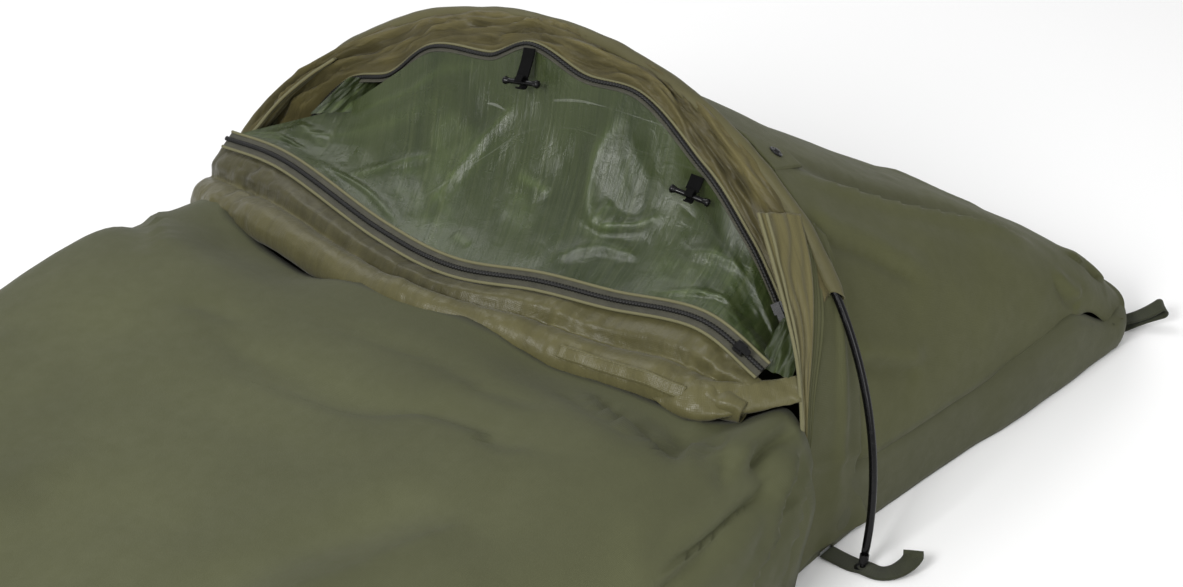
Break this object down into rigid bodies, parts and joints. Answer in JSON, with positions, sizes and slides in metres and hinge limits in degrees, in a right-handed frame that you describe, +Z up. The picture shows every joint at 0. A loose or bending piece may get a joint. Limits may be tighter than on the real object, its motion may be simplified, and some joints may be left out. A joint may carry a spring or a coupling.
{
  "type": "bivy sack",
  "caption": "Single-hoop bivy sack, pitched: fabric bag with tub floor, hooped hood, mosquito net zipped shut, outer door rolled down, toggles and peg loops.",
  "frame": {"origin": "on the ground, under the middle of the whole part", "axes": "+X along the sack to its head end, +Y to the sleeper's right, +Z up"},
  "size_m": [2.3462, 1.0688, 0.4709],
  "materials": {
    "shell_fabric": "matt olive laminate",
    "tub_fabric": "matt coated olive floor cloth",
    "lining_fabric": "shiny coated brown-olive lining",
    "netting": "shiny fine green net",
    "zip_tape": "matt woven tape",
    "zip_coil": "black coil",
    "olive_webbing": "woven webbing",
    "black_webbing": "woven webbing",
    "pole_tube": "gloss black anodised tube",
    "ferrule_metal": "satin",
    "black_plastic": "satin black",
    "black_hardware": "satin black",
    "shock_cord": "braided cord"
  },
  "bodies": {
    "root": {"ground_sheet": "tub_fabric", "foot_tub_wall": "tub_fabric", "head_tub_wall": "tub_fabric", "body_shell": "shell_fabric", "head_shell": "shell_fabric", "left_side_gusset": "shell_fabric", "right_side_gusset": "shell_fabric", "left_side_strip": "lining_fabric", "right_side_strip": "lining_fabric", "left_hoop_strap": "olive_webbing", "right_hoop_strap": "olive_webbing", "chest_zip_door_tape": "zip_tape", "chest_zip_net_tape": "zip_tape", "chest_zip_coil": "zip_coil", "mosquito_net": "netting", "rolled_door": "lining_fabric", "door_keeper_tab": "lining_fabric"},
    "hoop": {"pole_section_1": "pole_tube", "pole_section_2": "pole_tube", "pole_section_3": "pole_tube", "pole_section_4": "pole_tube", "ferrule_1": "ferrule_metal", "ferrule_2": "ferrule_metal", "ferrule_3": "ferrule_metal", "shock_cord": "shock_cord", "left_pole_tip": "black_plastic", "right_pole_tip": "black_plastic", "pole_sleeve": "shell_fabric", "left_sleeve_hem": "shell_fabric", "right_sleeve_hem": "shell_fabric", "storm_flap": "lining_fabric", "arch_zip_tape": "zip_tape", "arch_zip_coil": "zip_coil", "left_snap_patch": "shell_fabric", "right_snap_patch": "shell_fabric", "left_snap_cap": "black_hardware", "right_snap_cap": "black_hardware", "left_snap_stud": "black_hardware", "right_snap_stud": "black_hardware", "left_grommet": "black_hardware", "right_grommet": "black_hardware"},
    "upper_toggle": {"upper_toggle_tab": "black_webbing"},
    "upper_toggle_cross": {"upper_toggle_bar": "black_plastic"},
    "side_toggle": {"side_toggle_tab": "black_webbing"},
    "side_toggle_cross": {"side_toggle_bar": "black_plastic"},
    "door_slider": {"door_zip_slider": "black_plastic"},
    "door_pull": {"door_zip_pull": "black_plastic"},
    "net_slider": {"net_zip_slider": "black_plastic"},
    "net_pull": {"net_zip_pull": "black_plastic"},
    "left_head_loop": {"left_head_loop": "olive_webbing"},
    "left_foot_loop": {"left_foot_loop": "olive_webbing"},
    "right_head_loop": {"right_head_loop": "olive_webbing"},
    "right_foot_loop": {"right_foot_loop": "olive_webbing"}
  },
  "joints": [
    {"name": "hoop_lean", "type": "hinge", "parent": "root", "child": "hoop", "pos_m": [0.5075, 0, 0.012], "axis": [0, 1, 0], "range_deg": [-4, 12], "stiffness_Nm_per_rad": 25, "deforming": ["mosquito_net", "head_shell", "left_side_gusset", "right_side_gusset", "left_side_strip", "right_side_strip", "left_hoop_strap", "right_hoop_strap", "chest_zip_door_tape", "chest_zip_net_tape", "chest_zip_coil", "rolled_door", "door_keeper_tab"]},
    {"name": "upper_toggle_swing", "type": "hinge", "parent": "hoop", "child": "upper_toggle", "pos_m": [0.55931, 0.01793, 0.44767], "axis": [-0.1769, 0.9819, -0.0679], "range_deg": [-5, 120]},
    {"name": "upper_toggle_turn", "type": "hinge", "parent": "upper_toggle", "child": "upper_toggle_cross", "pos_m": [0.53802, 0.01214, 0.41949], "axis": [-0.5949, -0.1617, -0.7874], "range_deg": [-30, 30]},
    {"name": "side_toggle_swing", "type": "hinge", "parent": "hoop", "child": "side_toggle", "pos_m": [0.54557, -0.2212, 0.37419], "axis": [-0.2493, 0.945, 0.2118], "range_deg": [-5, 120]},
    {"name": "side_toggle_turn", "type": "hinge", "parent": "side_toggle", "child": "side_toggle_cross", "pos_m": [0.53319, -0.22072, 0.35748], "axis": [-0.5952, 0.023, -0.8032], "range_deg": [-30, 30]},
    {"name": "door_slider_run", "type": "slide", "parent": "hoop", "child": "door_slider", "axis": [0.1608, 0.6004, 0.7833], "range_m": [0, 0.025]},
    {"name": "door_pull_flip", "type": "hinge", "parent": "door_slider", "child": "door_pull", "pos_m": [0.52443, -0.34086, 0.27125], "axis": [-0.5646, 0.707, -0.426], "range_deg": [0, 150]},
    {"name": "net_slider_run", "type": "slide", "parent": "hoop", "child": "net_slider", "axis": [0.045, 0.9402, 0.3377], "range_m": [0, 0.025]},
    {"name": "net_pull_flip", "type": "hinge", "parent": "net_slider", "child": "net_pull", "pos_m": [0.45391, -0.34111, 0.25678], "axis": [-0.8127, 0.231, -0.5349], "range_deg": [0, 150]},
    {"name": "left_head_loop_lift", "type": "hinge", "parent": "root", "child": "left_head_loop", "pos_m": [1.12766, -0.45016, 0.0064], "axis": [-0.7071, -0.7071, 0], "range_deg": [-12, 75]},
    {"name": "right_head_loop_lift", "type": "hinge", "parent": "root", "child": "right_head_loop", "pos_m": [1.12766, 0.45016, 0.0064], "axis": [0.7071, -0.7071, 0], "range_deg": [-12, 75]},
    {"name": "left_foot_loop_lift", "type": "hinge", "parent": "root", "child": "left_foot_loop", "pos_m": [-1.12766, -0.30016, 0.0064], "axis": [-0.7071, 0.7071, 0], "range_deg": [-12, 75]},
    {"name": "right_foot_loop_lift", "type": "hinge", "parent": "root", "child": "right_foot_loop", "pos_m": [-1.12766, 0.30016, 0.0064], "axis": [0.7071, 0.7071, 0], "range_deg": [-12, 75]}
  ]
}
